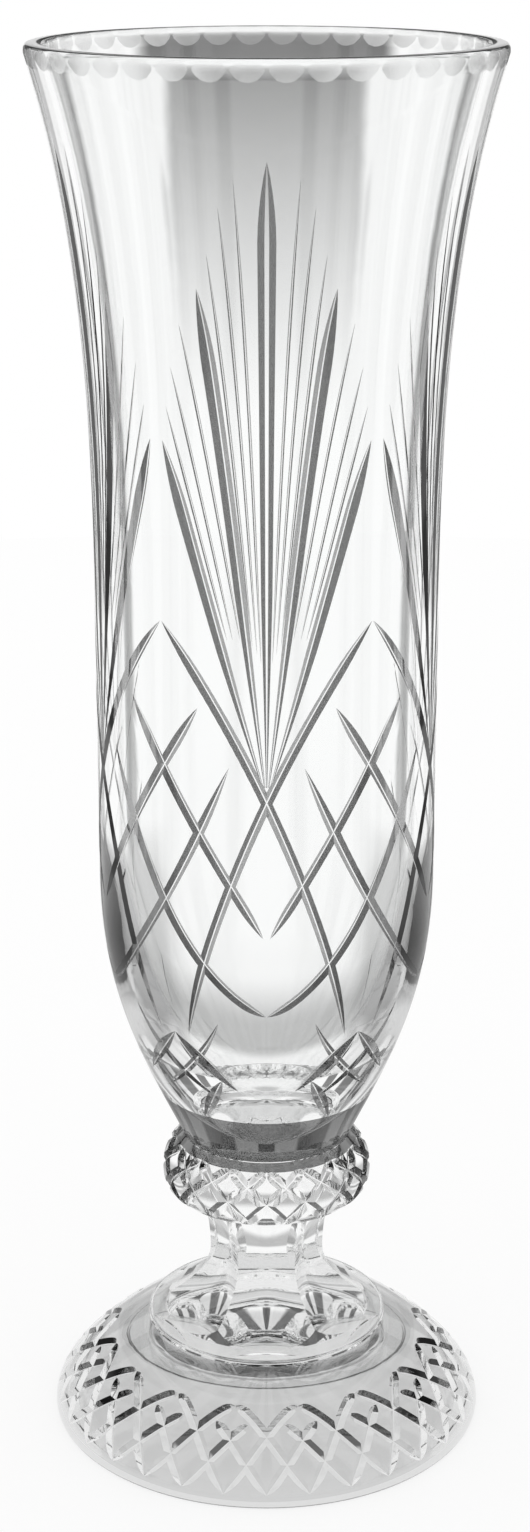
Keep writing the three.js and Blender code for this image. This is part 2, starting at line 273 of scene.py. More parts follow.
class Bench:
    """The modelling tools that the pieces share.

    Attributes:
        weld: Points of a turned piece that are nearer to each other than this become one.
        sliver: Edges shorter than this are dissolved.
        smooth_up_to: A bend sharper than this is shaded as an edge.
    """

    weld = 0.004 * MM
    sliver = 0.001 * MM
    smooth_up_to = math.radians(24.0)

    @staticmethod
    def mode(name: str) -> None:
        """Switches to EDIT or OBJECT mode."""
        bpy.ops.object.mode_set(mode=name)

    @staticmethod
    def clear() -> None:
        """Leaves edit mode and deselects everything."""
        if bpy.context.object is not None and bpy.context.object.mode != "OBJECT":
            Bench.mode("OBJECT")
        bpy.ops.object.select_all(action="DESELECT")

    @staticmethod
    def take(piece: Piece) -> None:
        """Selects one piece alone and makes it the active one.

        Args:
            piece: The piece to work on.
        """
        Bench.clear()
        piece.select_set(True)
        bpy.context.view_layer.objects.active = piece

    @staticmethod
    def dress(piece: Piece, finishes: Finishes) -> None:
        """Gives a piece its finishes, so that its faces can take them by their place."""
        for finish in finishes:
            piece.data.materials.append(finish)

    @staticmethod
    def paint(piece: Piece, surface: Surface) -> None:
        """Puts one finish on all faces of a piece."""
        piece.data.polygons.foreach_set("material_index", [surface.value] * len(piece.data.polygons))

    @staticmethod
    def read(
        items: bpy.types.bpy_prop_collection, name: str, kind: type = float, width: int = 1
    ) -> np.ndarray:
        """Reads one value of all vertices, corners or faces of a mesh.

        Args:
            items: The vertices, corners or faces.
            name: The value's name.
            kind: The type of its numbers.
            width: How many numbers it has.

        Returns:
            An array of the numbers, with a row for each item where there are several.
        """
        values = np.zeros(len(items) * width, dtype=kind)
        items.foreach_get(name, values)
        return values if width == 1 else values.reshape(-1, width)

    @staticmethod
    def place(piece: Piece, places: np.ndarray) -> None:
        """Puts the vertices of a piece at their new places, given in metres."""
        piece.data.vertices.foreach_set("co", places.astype(np.float32).ravel())
        piece.data.update()

    @staticmethod
    def turn(name: str, outline: Outline, facets: int, finishes: Finishes) -> Piece:
        """Turns an outline round the upright axis into a closed solid.

        Args:
            name: Name of the new piece.
            outline: Its half section.
            facets: How many facets go round it.
            finishes: Its finishes, in the order of Surface.

        Returns:
            The piece, with each face on its surface's finish.
        """
        Bench.clear()
        bpy.ops.mesh.primitive_plane_add(size=MM)
        piece = bpy.context.object
        piece.name = name
        piece.data.name = name
        Bench.dress(piece, finishes)
        Bench.mode("EDIT")
        bpy.ops.mesh.select_mode(type="VERT")
        bpy.ops.mesh.select_all(action="SELECT")
        bpy.ops.mesh.merge(type="CENTER")
        here = outline.points[0]
        bpy.ops.transform.translate(value=(here[0] * MM, 0.0, here[1] * MM))
        for point in outline.points[1:]:
            step = (point - here) * MM
            bpy.ops.mesh.extrude_vertices_move(TRANSFORM_OT_translate={"value": (step[0], 0.0, step[1])})
            here = point
        bpy.ops.mesh.select_all(action="SELECT")
        bpy.ops.mesh.spin(steps=facets, angle=2 * math.pi, center=(0, 0, 0), axis=(0, 0, 1))
        bpy.ops.mesh.select_all(action="SELECT")
        bpy.ops.mesh.remove_doubles(threshold=Bench.weld)
        bpy.ops.mesh.dissolve_degenerate(threshold=Bench.sliver)
        bpy.ops.mesh.select_all(action="SELECT")
        bpy.ops.mesh.normals_make_consistent(inside=False)
        Bench.mode("OBJECT")
        Bench.assign(piece, outline)
        return piece

    @staticmethod
    def assign(
        piece: Piece, outline: Outline, near: float = 0.01, reach: float = 0.1, level: float = 0.99
    ) -> None:
        """Gives each face of a turned piece the finish of the run that turned it.

        Args:
            piece: The turned piece.
            outline: The outline that it was turned from.
            near: How far from a seat's height its faces may lie.
            reach: How far inside a ring's smallest radius its faces may lie.
            level: A face is level where the upright part of its facing is above this.
        """
        faces = piece.data.polygons
        middles = Bench.read(faces, "center", width=3) / MM
        radius, height = np.hypot(middles[:, 0], middles[:, 1]), middles[:, 2]
        is_level = np.abs(Bench.read(faces, "normal", width=3)[:, 2]) > level
        finish = np.full(len(faces), Surface.BODY.value, dtype=np.int32)
        for line, surface in enumerate(outline.surfaces):
            start, end = outline.points[line], outline.points[line + 1]
            if surface is Surface.SEAT:
                within = (np.abs(height - start[1]) < near) & (radius < max(start[0], end[0]))
                finish[within & is_level] = Surface.SEAT.value
            elif surface is Surface.RING:
                within = (height > start[1]) & (height < end[1])
                finish[within & (radius > min(start[0], end[0]) - reach)] = Surface.RING.value
        faces.foreach_set("material_index", finish)

    @staticmethod
    def combine(piece: Piece, tool: Piece, joining: Joining) -> None:
        """Cuts a closed tool away from a piece, grows it on or keeps what both share.

        Args:
            piece: The piece that keeps the result.
            tool: The other solid.
            joining: How the two are combined; the tool is used up.
        """
        Bench.take(piece)
        step = piece.modifiers.new(joining.name.lower(), "BOOLEAN")
        step.operation = joining.value
        step.solver = "MANIFOLD"
        step.material_mode = "INDEX"
        step.object = tool
        bpy.ops.object.modifier_apply(modifier=step.name)
        bpy.data.meshes.remove(tool.data)

    @staticmethod
    def join(pieces: list[Piece]) -> Piece:
        """Joins several pieces into the first of them.

        Args:
            pieces: The pieces, of which the first is kept.

        Returns:
            The joined piece.
        """
        Bench.take(pieces[0])
        for piece in pieces[1:]:
            piece.select_set(True)
        bpy.ops.object.join()
        return pieces[0]

    @staticmethod
    def copies_round(piece: Piece, count: int) -> Piece:
        """Copies a piece evenly round the axis and joins the copies to it.

        Args:
            piece: The piece at the front.
            count: How many there are in all.

        Returns:
            The joined ring of pieces.
        """
        ring = [piece]
        for place in range(1, count):
            Bench.take(piece)
            bpy.ops.object.duplicate(linked=False)
            copy = bpy.context.object
            copy.rotation_euler.z = 2 * math.pi * place / count
            bpy.ops.object.transform_apply(location=False, rotation=True, scale=False)
            ring.append(copy)
        return Bench.join(ring)

    @staticmethod
    def crisp(piece: Piece) -> None:
        """Shades a piece smooth apart from its sharp bends."""
        Bench.take(piece)
        bpy.ops.object.shade_smooth_by_angle(angle=Bench.smooth_up_to)

    @staticmethod
    def polish(piece: Piece, outline: Outline, shade: Shade, axis: float = 0.01) -> None:
        """Shades the turned faces of a piece exactly as their outline bends, and paints shade on its cuts.

        Args:
            piece: The finished mesh.
            outline: The outline of its turned faces.
            shade: The painted shade of its cuts.
            axis: Nearer to the axis than this, a corner faces as its face does.
        """
        Bench.crisp(piece)
        mesh = piece.data
        corner_of = Bench.read(mesh.loops, "vertex_index", np.int32)
        at = Bench.read(mesh.vertices, "co", width=3)[corner_of] / MM
        sides = Bench.read(mesh.polygons, "loop_total", np.int32)
        finish = np.repeat(Bench.read(mesh.polygons, "material_index", np.int32), sides)
        flat = np.repeat(Bench.read(mesh.polygons, "normal", width=3), sides, axis=0)
        radius = np.hypot(at[:, 0], at[:, 1])
        outward = at[:, :2] / np.maximum(radius, 1e-9)[:, None]
        about = np.stack([(flat[:, :2] * outward).sum(axis=1), flat[:, 2]], axis=1)
        places = np.stack([radius, at[:, 2]], axis=1)
        # Corners that are alike to 0.005 mm and a quarter of a unit of facing are looked up once.
        rough = np.round(np.hstack([places * 200, about * 4])).astype(np.int64)
        _, first, again = np.unique(rough, axis=0, return_index=True, return_inverse=True)
        faces = outline.facing_at(places[first], about[first])[again.ravel()]
        blank = np.hstack([outward * faces[:, :1], faces[:, 1:]])
        blank[radius < axis] = flat[radius < axis]
        uncut = mesh.attributes.new(BLANK_FACING, "FLOAT_VECTOR", "CORNER")
        uncut.data.foreach_set("vector", blank.astype(np.float32).ravel())
        # Painted shade of the cut flanks, kept on each corner for the glass colour.
        painted_flank_layer = mesh.attributes.new(PAINTED_CUT_SHADE, "FLOAT", "CORNER")
        share = np.where(finish == Surface.CUT.value, shade.of(at, flat, blank), 1.0)
        painted_flank_layer.data.foreach_set("value", share.astype(np.float32))
        given = np.where((finish == Surface.BODY.value)[:, None], blank, 0.0)
        mesh.normals_split_custom_set(given.tolist())

    @staticmethod
    def finish(piece: Piece, node: str, slot: str) -> None:
        """Lets a piece stand for its CAD node and makes it ride on the vase.

        Args:
            piece: The finished piece.
            node: The CAD node that it stands for.
            slot: Not used.
        """
        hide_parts(node)
        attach(piece, "root")
        log.info("%s: %d faces", piece.name, len(piece.data.polygons))


# Wheel: the mitred cutting wheel and the strokes that it grinds.


@dataclass(frozen=True)
class Stroke:
    """One stroke of the cutting wheel over the outside of a piece.

    Attributes:
        start: Angle and height of its first tip.
        pull: The point that its bend leans towards.
        end: Angle and height of its last tip.
        widths: Share of its length and the groove's width there; between them it changes evenly.
        slope: How steeply each flank leans from the surface.
        flat: Width of the flat that the wheel's worn edge leaves along the bottom.
        flat_share: The most that half the flat takes of the groove's width.
        stations: How many times the blade is bent along the way.
        swell: How bluntly the groove opens from a tip.
    """

    start: Point
    pull: Point
    end: Point
    widths: tuple[Point, ...]
    slope: float = 38.0
    flat: float = 0.3
    flat_share: float = 0.12
    stations: int = 28
    swell: float = 0.85

    def mirrored(self) -> "Stroke":
        """The same stroke on the other side of the front."""
        start, pull, end = ((-angle, height) for angle, height in (self.start, self.pull, self.end))
        return replace(self, start=start, pull=pull, end=end)

    def turned(self, angle: float) -> "Stroke":
        """The same stroke further round the piece, by an angle in degrees."""
        start, pull, end = ((at + angle, height) for at, height in (self.start, self.pull, self.end))
        return replace(self, start=start, pull=pull, end=end)

    def place(self, share: float) -> Point:
        """Angle and height at a share of the stroke.

        Args:
            share: From 0 at the first tip to 1 at the last.

        Returns:
            A point of the bend.
        """
        weights = ((1 - share) ** 2, 2 * share * (1 - share), share**2)
        corners = (self.start, self.pull, self.end)
        angle = sum(weight * corner[0] for weight, corner in zip(weights, corners))
        height = sum(weight * corner[1] for weight, corner in zip(weights, corners))
        return angle, height

    def width(self, share: float) -> float:
        """The groove's width at a share of the stroke.

        Args:
            share: From 0 at the first tip to 1 at the last.

        Returns:
            The width, rounded off where the wheel enters and leaves.
        """
        for (start, first), (end, last) in zip(self.widths, self.widths[1:]):
            if share <= end:
                t = (share - start) / (end - start)
                if first == 0.0:
                    t = math.sin(t * math.pi / 2) ** self.swell
                elif last == 0.0:
                    t = 1.0 - math.sin((1.0 - t) * math.pi / 2) ** self.swell
                return first + (last - first) * t
        return self.widths[-1][1]


@dataclass
class Wheel:
    """The mitred wheel, whose blade is laid along every stroke.

    Attributes:
        finishes: The finishes of the piece that is cut, in the order of Surface.
        clearance: How far the blade stands out of the glass.
        lift: How far its edge is clear of the glass at a stroke's tips.
        half_edge: The least half width of its edge.
        glance: How far ahead and back along a stroke its direction is taken from, as a share of it.
    """

    finishes: Finishes
    clearance: float = 0.9
    lift: float = 0.03
    half_edge: float = 0.004
    glance: float = 0.004

    def blade(self, stations: int) -> Piece:
        """A straight blade: unit long, its edge down, subdivided so that it can be bent.

        Args:
            stations: How many parts it has along its length.

        Returns:
            The blade, a wedge along X from 0 to 1 with its corners at Y and Z of plus or minus 1.
        """
        Bench.clear()
        bpy.ops.mesh.primitive_cube_add(size=2.0)
        blade = bpy.context.object
        Bench.dress(blade, self.finishes)
        blade.scale.x = 0.5
        blade.location.x = 0.5
        bpy.ops.object.transform_apply(location=True, rotation=False, scale=True)
        Bench.mode("EDIT")
        bpy.ops.mesh.select_mode(type="EDGE")
        Bench.mode("OBJECT")
        for face in blade.data.polygons:
            face.select = False
        for edge in blade.data.edges:
            ends = [blade.data.vertices[v].co for v in edge.vertices]
            edge.select = abs(ends[0].x - ends[1].x) > 0.5
        Bench.mode("EDIT")
        bpy.ops.mesh.subdivide(number_cuts=stations - 1)
        Bench.mode("OBJECT")
        return blade

    def lay(self, stroke: Stroke, outline: Outline) -> Piece:
        """Bends the blade along one stroke.

        Args:
            stroke: Where the wheel goes and how wide it cuts.
            outline: The outline of the piece that it cuts.

        Returns:
            The bent blade, a closed solid.
        """
        blade = self.blade(stroke.stations)
        places = Bench.read(blade.data.vertices, "co", width=3)
        laid = np.zeros_like(places)
        lean = math.tan(math.radians(stroke.slope))
        for share in sorted(set(np.round(places[:, 0], 6))):
            here, facing, across = self.station(stroke, outline, float(share))
            width = stroke.width(float(share))
            half_flat = min(stroke.flat / 2, width * stroke.flat_share)
            depth = (width / 2 - half_flat) * lean if width > 0 else -self.lift
            half_flat = max(half_flat, self.half_edge)
            half_top = half_flat + (depth + self.clearance) / lean
            for row in np.flatnonzero(np.abs(places[:, 0] - share) < 1e-5):
                side = np.sign(places[row, 1])
                if places[row, 2] > 0:
                    laid[row] = here + facing * self.clearance + across * side * half_top
                else:
                    laid[row] = here - facing * depth + across * side * half_flat
        Bench.place(blade, laid * MM)
        Bench.paint(blade, Surface.CUT)
        Bench.take(blade)
        Bench.mode("EDIT")
        bpy.ops.mesh.select_all(action="SELECT")
        bpy.ops.mesh.normals_make_consistent(inside=False)
        Bench.mode("OBJECT")
        return blade

    def station(self, stroke: Stroke, outline: Outline, share: float) -> tuple[np.ndarray, ...]:
        """Where a blade is at one share of its stroke.

        Args:
            stroke: The stroke.
            outline: The outline of the piece that it cuts.
            share: From 0 to 1 along it.

        Returns:
            The place on the glass, the way the glass faces, and the way across the stroke.
        """

        def on_glass(at: float) -> tuple[np.ndarray, np.ndarray]:
            """Place and facing of the glass at a share of the stroke.

            Args:
                at: The share, which may lie a little past the stroke's ends.

            Returns:
                Both, in the vase's frame.
            """
            angle, height = stroke.place(min(1.0, max(0.0, at)))
            radius, out, up = outline.outside_at(height)
            side, front = math.sin(math.radians(angle)), -math.cos(math.radians(angle))
            return np.array([radius * side, radius * front, height]), np.array([out * side, out * front, up])

        here, facing = on_glass(share)
        ahead, behind = on_glass(share + self.glance)[0], on_glass(share - self.glance)[0]
        along = (ahead - behind) / np.linalg.norm(ahead - behind)
        across = np.cross(facing, along)
        return here, facing, across / np.linalg.norm(across)

    def grind(self, piece: Piece, outline: Outline, sets: list[list[Stroke]], repeats: int) -> None:
        """Grinds sets of strokes, each repeated evenly round a piece.

        Args:
            piece: The piece of glass.
            outline: The outline of its outside.
            sets: The strokes of one repeat; those of one set keep clear of each other.
            repeats: How many times they go round.
        """
        for strokes in sets:
            blades = Bench.join([self.lay(stroke, outline) for stroke in strokes])
            Bench.combine(piece, Bench.copies_round(blades, repeats), Joining.CUT_AWAY)


# Finishes.


@dataclass(frozen=True)
class Wire:
    """One value on its way between shader nodes, so that shader maths reads as plain sums."""

    tree: bpy.types.NodeTree
    socket: bpy.types.NodeSocket

    def worked(self, operation: str, left: "Wire | float", right: "Wire | float") -> "Wire":
        """Adds a Math node.

        Args:
            operation: The node's operation.
            left: Its first value.
            right: Its second value.

        Returns:
            The result.
        """
        node = self.tree.nodes.new("ShaderNodeMath")
        node.operation = operation
        for place, value in enumerate((left, right)):
            if isinstance(value, Wire):
                self.tree.links.new(value.socket, node.inputs[place])
            else:
                node.inputs[place].default_value = float(value)
        return Wire(self.tree, node.outputs[0])

    def __add__(self, other: "Wire | float") -> "Wire":
        """This plus the other."""
        return self.worked("ADD", self, other)

    def __radd__(self, other: float) -> "Wire":
        """The other plus this."""
        return self.worked("ADD", other, self)

    def __sub__(self, other: "Wire | float") -> "Wire":
        """This less the other."""
        return self.worked("SUBTRACT", self, other)

    def __rsub__(self, other: float) -> "Wire":
        """The other less this."""
        return self.worked("SUBTRACT", other, self)

    def __mul__(self, other: "Wire | float") -> "Wire":
        """This times the other."""
        return self.worked("MULTIPLY", self, other)

    def __rmul__(self, other: float) -> "Wire":
        """The other times this."""
        return self.worked("MULTIPLY", other, self)

    def most(self, other: "Wire | float") -> "Wire":
        """The greater of this and the other."""
        return self.worked("MAXIMUM", self, other)


@dataclass(frozen=True)
class Nodes:
    """Lays out the shader nodes of one finish."""

    tree: bpy.types.NodeTree

    def lay(
        self, kind: str, sockets: Sockets | None = None, out: str | int = 0, **settings: object
    ) -> Wire:
        """Adds a node.

        Args:
            kind: Its type.
            sockets: Values or wires of its inputs, by name or place.
            out: The output that is handed back.
            settings: Its settings, set before its sockets.

        Returns:
            That output, or the first input of a node that has none.
        """
        node = self.tree.nodes.new(kind)
        for name, value in settings.items():
            setattr(node, name, value)
        for name, value in (sockets or {}).items():
            if isinstance(value, Wire):
                self.tree.links.new(value.socket, node.inputs[name])
            else:
                node.inputs[name].default_value = value
        return Wire(self.tree, node.outputs[out] if len(node.outputs) else node.inputs[0])

    def parts(self, vector: Wire) -> list[Wire]:
        """The X, Y and Z of a vector."""
        split = self.lay("ShaderNodeSeparateXYZ", {0: vector}).socket.node
        return [Wire(self.tree, part) for part in split.outputs]

    def ray(self, kind: str) -> Wire:
        """Whether a ray is of a kind, such as Camera or Glossy."""
        return self.lay("ShaderNodeLightPath", out=f"Is {kind} Ray")

    def ease(
        self, value: Wire, low: float, high: float, start: float = 0.0, end: float = 1.0, even: bool = False
    ) -> Wire:
        """Eases a value from one level to another.

        Args:
            value: What is followed.
            low: Where the change starts.
            high: Where it ends.
            start: The level below it.
            end: The level above it.
            even: Whether the change is even and not eased in and out.

        Returns:
            The eased level.
        """
        return self.lay(
            "ShaderNodeMapRange",
            {"Value": value, "From Min": low, "From Max": high, "To Min": start, "To Max": end},
            interpolation_type="LINEAR" if even else "SMOOTHSTEP",
            clamp=True,
        )


def new_material(name: str) -> tuple[bpy.types.Material, Nodes]:
    """A new material with an empty node tree.

    Args:
        name: Its name.

    Returns:
        The material and its nodes.
    """
    material = bpy.data.materials.new(name)
    material.use_nodes = True
    material.node_tree.nodes.clear()
    return material, Nodes(material.node_tree)


@dataclass(frozen=True)
class Crystal:
    """Clear lead glass with a polished surface.

    Attributes:
        name: Name of the material.
        tint: Colour of what passes through.
        index: Refractive index.
        haze: Roughness of the polish.
        ripple: Depth of the slow ripple that polishing leaves.
        ripple_size: How many ripples there are to a metre.
        grain: Depth of the fine marks of the wheel.
        grain_size: How many marks there are to a metre.
        healed: How far light enters as through the uncut blank, or None. With a number it also leaves
            wholly as through the blank.
        painted_shade: The share of light that uncut glass loses where it enters, a painted shade.
        dulled: Where the marks start and end to add to the haze.
        dulling: How much they add.
    """

    name: str
    tint: tuple[float, float, float] = (0.985, 0.99, 0.988)
    index: float = 1.54
    haze: float = 0.0
    ripple: float = 0.00002
    ripple_size: float = 60.0
    grain: float = 0.0
    grain_size: float = 2400.0
    healed: float | None = None
    painted_shade: float = 0.0
    dulled: Ramp = (0.55, 0.75)
    dulling: float = 0.02

    def made(self) -> bpy.types.Material:
        """Builds the material.

        Returns:
            The glass.
        """
        material, nodes = new_material(self.name)
        place = nodes.lay("ShaderNodeTexCoord", out="Object")
        ripple = nodes.lay("ShaderNodeTexNoise", {"Vector": place, "Scale": self.ripple_size, "Detail": 2.0})
        marks = nodes.lay("ShaderNodeTexNoise", {"Vector": place, "Scale": self.grain_size, "Detail": 3.0})
        relief = ripple * self.ripple + marks * self.grain
        facing = nodes.lay("ShaderNodeBump", {"Strength": 1.0, "Distance": 1.0, "Height": relief})
        leaving = nodes.lay("ShaderNodeNewGeometry", out="Backfacing")
        if self.healed is not None:
            facing = self.healed_facing(nodes, facing, leaving)
        colour = self.colour(nodes, leaving)
        dull = nodes.ease(marks, *self.dulled, self.haze, self.haze + self.dulling)
        glass = nodes.lay(
            "ShaderNodeBsdfPrincipled",
            {
                "Base Color": colour,
                "IOR": self.index,
                "Transmission Weight": 1.0,
                "Roughness": dull,
                "Normal": facing,
            },
        )
        nodes.lay("ShaderNodeOutputMaterial", {"Surface": glass})
        return material

    def colour(self, nodes: Nodes, leaving: Wire) -> Wire | tuple[float, ...]:
        """The colour of what passes through.

        Args:
            nodes: The nodes of the finish.
            leaving: Whether the light is on its way out.

        Returns:
            The tint, darker on the way in by the painted shade of the cuts or by a painted shade over the
            whole face.
        """
        if self.healed is not None:
            share = nodes.lay("ShaderNodeAttribute", out="Fac", attribute_name=PAINTED_CUT_SHADE).most(leaving)
        elif self.painted_shade:
            share = leaving.most(1.0 - self.painted_shade)
        else:
            return (*self.tint, 1.0)
        # Each crossing tints light by the square root of the colour, so the share is squared.
        return nodes.lay("ShaderNodeVectorMath", {0: self.tint, "Scale": share * share}, operation="SCALE")

    def healed_facing(self, nodes: Nodes, bump: Wire, leaving: Wire) -> Wire:
        """Which way a cut bends light: partly, or on the way out wholly, as the uncut blank does.

        Args:
            nodes: The nodes of the finish.
            bump: Which way the cut itself faces.
            leaving: Whether the light is on its way out.

        Returns:
            The facing.
        """
        blank = nodes.lay("ShaderNodeAttribute", out="Vector", attribute_name=BLANK_FACING)
        inward = nodes.lay("ShaderNodeVectorMath", {0: blank, "Scale": -1.0}, operation="SCALE")
        entering = nodes.lay(
            "ShaderNodeMix", {"Factor": self.healed, 4: bump, 5: blank}, out=1, data_type="VECTOR"
        )
        return nodes.lay(
            "ShaderNodeMix", {"Factor": leaving, 4: entering, 5: inward}, out=1, data_type="VECTOR"
        )


@dataclass(frozen=True)
class CutCrystal(Crystal):
    """The same glass where the wheel has cut it: slightly matt, with fine marks instead of a ripple."""

    haze: float = 0.02
    ripple: float = 0.0
    grain: float = 0.0000004
    healed: float | None = 0.0


@dataclass(frozen=True)
class Seam:
    """A bonded face or film, which lets nearly everything through.

    Attributes:
        name: Name of the material.
        cover: How much it covers, which doubles at its specks.
        tint: Its colour.
        specks_size: How many specks there are to a metre.
        specked: Where the specks start and end.
    """

    name: str
    cover: float = 0.0
    tint: tuple[float, ...] = (0.96, 0.97, 0.97, 1.0)
    specks_size: float = 900.0
    specked: Ramp = (0.66, 0.8)

    def made(self) -> bpy.types.Material:
        """Builds the material.

        Returns:
            The finish of a joint.
        """
        material, nodes = new_material(self.name)
        cover: Wire | float = self.cover
        if self.cover:
            place = nodes.lay("ShaderNodeTexCoord", out="Object")
            specks = nodes.lay(
                "ShaderNodeTexNoise", {"Vector": place, "Scale": self.specks_size, "Detail": 2.0}
            )
            cover = nodes.ease(specks, *self.specked, self.cover, self.cover * 2)
        film = nodes.lay(
            "ShaderNodeBsdfPrincipled",
            {"Base Color": self.tint, "Roughness": 0.1, "IOR": 1.5, "Alpha": cover},
        )
        nodes.lay("ShaderNodeOutputMaterial", {"Surface": film})
        return material


# Sub-assemblies.


@dataclass
class Foot:
    """Domed foot, hollow underneath, with a band of crossing cuts."""

    radius: float = 56.6
    height: float = 26.2
    edge_height: float = 1.5
    edge_handles: tuple[Point, Point] = ((56.3, 0.0), (56.6, 0.6))
    dome_handles: tuple[Point, Point] = ((56.6, 8.5), (43.0, 19.0))
    seat_radius: float = 31.3
    stand_outer: float = 55.8
    stand_inner: float = 51.4
    hollow_edge: float = 10.0
    hollow_height: float = 20.6
    hollow_flat: float = 36.0
    facets: int = 192
    repeats: int = 16
    cut_widths: tuple[Point, ...] = ((0.0, 0.0), (0.16, 2.8), (0.84, 2.8), (1.0, 0.0))
    # Painted shade on the cuts: inward flanks dark, upward flanks clear, as light from above would fall.
    shade: Shade = Shade(inward=0.15, outward=0.82, upward=1.0, above=10.5, calm=11.0)

    def outline(self) -> Outline:
        """The half section of the foot.

        Returns:
            The outline, over the hollow, under the edge and up the dome to the seat of the stem.
        """
        hollow = ((self.hollow_flat, self.hollow_height), (self.stand_inner, self.hollow_edge))
        return Outline(
            (0.0, self.hollow_height),
            [
                Run((self.stand_inner, 0.0), hollow, 48),
                Run((self.stand_outer, 0.0)),
                Run((self.radius, self.edge_height), self.edge_handles, 4, outer=True),
                Run((self.seat_radius, self.height), self.dome_handles, 48, outer=True),
                Run((0.0, self.height), surface=Surface.SEAT),
            ],
        )

    def strokes(self) -> list[list[Stroke]]:
        """The band's strokes, in sets that keep clear of each other.

        Returns:
            The long strokes down from each peak and the short ones under it, each with its mirror image.
        """
        spacing = FULL_TURN / self.repeats
        peak = spacing / 2
        long_stroke = Stroke((0.0, 19.9), (peak, 18.3), (spacing, 3.6), self.cut_widths)
        short_stroke = Stroke((-5.6, 17.0), (2.8, 14.0), (peak, 3.8), self.cut_widths)
        sets = []
        for stroke in (long_stroke.turned(peak), short_stroke.turned(peak)):
            sets += [[stroke], [stroke.turned(-spacing).mirrored()]]
        return sets

    def build(self, glass: Finishes) -> None:
        """Turns, cuts and dresses the foot.

        Args:
            glass: Its finishes, in the order of Surface.
        """
        outline = self.outline()
        foot = Bench.turn("foot_glass_piece", outline, self.facets, glass)
        Wheel(glass).grind(foot, outline, self.strokes(), self.repeats)
        Bench.polish(foot, outline, self.shade)
        Bench.finish(foot, "foot", "foot_glass")


@dataclass
class Stem:
    """Waisted stem with six slightly hollow flutes, which grows out of a low collar on a thin disc.

    Heights are counted from the disc's under face. Each flute's middle lies flute_hollow of the radius
    behind the flat from ridge to ridge, and flute_steps facets go across it.
    """

    base: float = 26.4
    height: float = 34.9
    disc_radius: float = 31.3
    disc_thickness: float = 1.4
    disc_round: float = 0.9
    collar: Point = (27.0, 2.2)
    neck: Point = (24.5, 6.5)
    flute_foot: Point = (36.0, 1.9)
    flare_sweep: Point = (24.5, 2.8)
    flare_turn: float = 11.5
    flare_height: float = 18.6
    waist_radius: float = 14.8
    top_radius: float = 17.4
    facets: int = 192
    flutes: int = 6
    flute_steps: int = 14
    flute_hollow: float = 0.09

    def disc_outline(self) -> Outline:
        """The half section of the round disc.

        Returns:
            The outline, whose edge is a half round.
        """
        high = self.disc_thickness
        middle = high / 2
        inner = self.disc_radius - self.disc_round
        reach = inner + self.disc_round * 2 / 3
        lower = ((reach, 0.0), (self.disc_radius, middle / 3))
        upper = ((self.disc_radius, high - middle / 3), (reach, high))
        return Outline(
            (0.0, 0.0),
            [
                Run((inner, 0.0), surface=Surface.SEAT),
                Run((self.disc_radius, middle), lower, 8),
                Run((inner, high), upper, 8),
                Run((0.0, high)),
            ],
            self.base,
        )

    def collar_outline(self) -> Outline:
        """The half section of the space that the collar leaves for the flare.

        Returns:
            The outline, which is wide at the disc and reaches past the stem's top.
        """
        inner = self.disc_radius - self.disc_round
        above = self.height + self.collar[1]
        return Outline(
            (0.0, 0.0),
            [
                Run((inner, 0.0)),
                Run((inner, self.disc_thickness)),
                Run(self.collar, steps=6),
                Run(self.neck, steps=6),
                Run((self.neck[0], above)),
                Run((0.0, above)),
            ],
            self.base,
        )

    def flute_outline(self) -> Outline:
        """The half section through a ridge between two flutes.

        Returns:
            The outline, which sweeps in to the waist and widens a little to the top.
        """
        bottom = self.disc_thickness / 2
        rise = (self.height - self.flare_height) / 3
        widening = self.top_radius - (self.top_radius - self.waist_radius) * 2 / 3
        flare = (self.flare_sweep, (self.waist_radius, self.flare_turn))
        top = ((self.waist_radius, self.flare_height + rise), (widening, self.height - rise))
        return Outline(
            (0.0, bottom),
            [
                Run((self.flute_foot[0], bottom)),
                Run(self.flute_foot),
                Run((self.waist_radius, self.flare_height), flare, 40),
                Run((self.top_radius, self.height), top, 16),
                Run((0.0, self.height), surface=Surface.SEAT),
            ],
            self.base,
        )

    def grind(self, flutes: Piece) -> None:
        """Grinds a turned blank into flutes, whose hollow runs out towards the top.

        Args:
            flutes: The blank, turned with flute_steps facets to a flute.
        """
        places = Bench.read(flutes.data.vertices, "co", width=3)
        half = math.pi / self.flutes
        across = np.arctan2(places[:, 1], places[:, 0]) % (2 * half) - half
        risen = (places[:, 2] / MM - self.base - self.flare_height) / (self.height - self.flare_height)
        hollow = self.flute_hollow * (1 - np.clip(risen, 0, 1) ** 2)
        share = math.cos(half) / np.cos(across) - hollow * (1 - (across / half) ** 2)
        places[:, :2] *= share[:, None]
        Bench.place(flutes, places)

    def build(self, glass: Finishes) -> None:
        """Turns the disc, cuts the flutes and dresses the stem.

        Args:
            glass: Its finishes, in the order of Surface.
        """
        stem = Bench.turn("stem_glass_piece", self.disc_outline(), self.facets, glass)
        collar = Bench.turn("collar", self.collar_outline(), self.facets, glass)
        flutes = Bench.turn("flutes", self.flute_outline(), self.flutes * self.flute_steps, glass)
        self.grind(flutes)
        Bench.combine(flutes, collar, Joining.SHARED)
        Bench.combine(stem, flutes, Joining.GROWN_ON)
        Bench.crisp(stem)
        Bench.finish(stem, "stem", "stem_glass")


